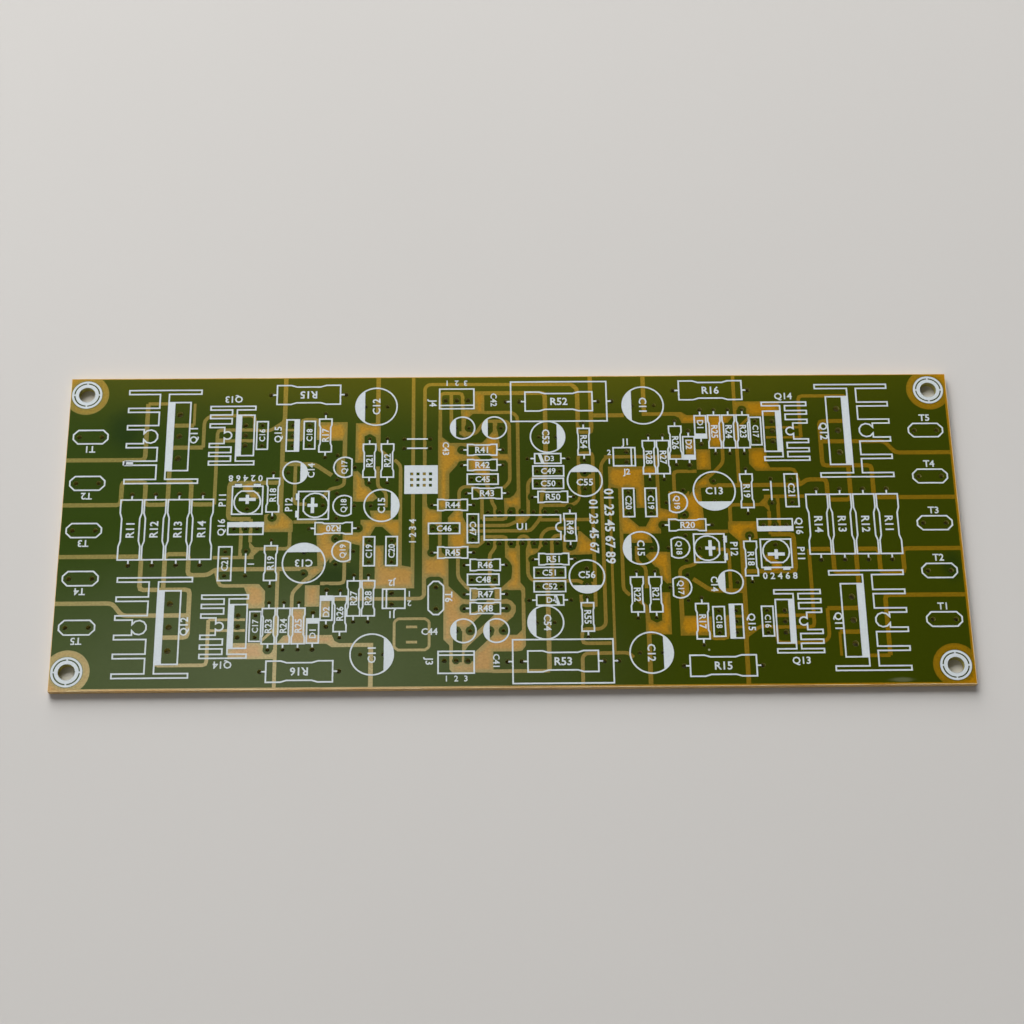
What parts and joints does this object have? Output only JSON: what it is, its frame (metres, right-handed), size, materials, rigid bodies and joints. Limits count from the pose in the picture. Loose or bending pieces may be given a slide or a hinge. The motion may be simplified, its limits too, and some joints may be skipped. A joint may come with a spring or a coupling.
{
  "type": "amplifier circuit board",
  "caption": "Bare printed board of a stereo power amplifier: drilled laminate with etched copper underneath and a printed component legend on top.",
  "frame": {"origin": "middle of the underside of the whole board, on the face of the copper foil", "axes": "+X along the board's length, +Y across it, +Z out of the printed face"},
  "size_m": [0.2, 0.075, 0.0017],
  "materials": {
    "laminate": "smooth glass laminate, amber and slightly see-through",
    "copper": "etched copper foil",
    "ink": "white screen-printed ink"
  },
  "bodies": {
    "root": {"board_laminate": "laminate", "copper_foil": "copper", "legend_mounting_rings": "ink", "legend_terminals": "ink", "legend_power_sinks": "ink", "legend_driver_sinks": "ink", "legend_flat_transistors": "ink", "legend_signal_transistors": "ink", "legend_trimmers": "ink", "legend_resistors_2w": "ink", "legend_resistors": "ink", "legend_round_capacitors": "ink", "legend_box_capacitors": "ink", "legend_diodes": "ink", "legend_links": "ink", "legend_connectors": "ink", "legend_chip": "ink", "legend_supply_filters": "ink", "legend_write_on_block": "ink"}
  },
  "joints": []
}
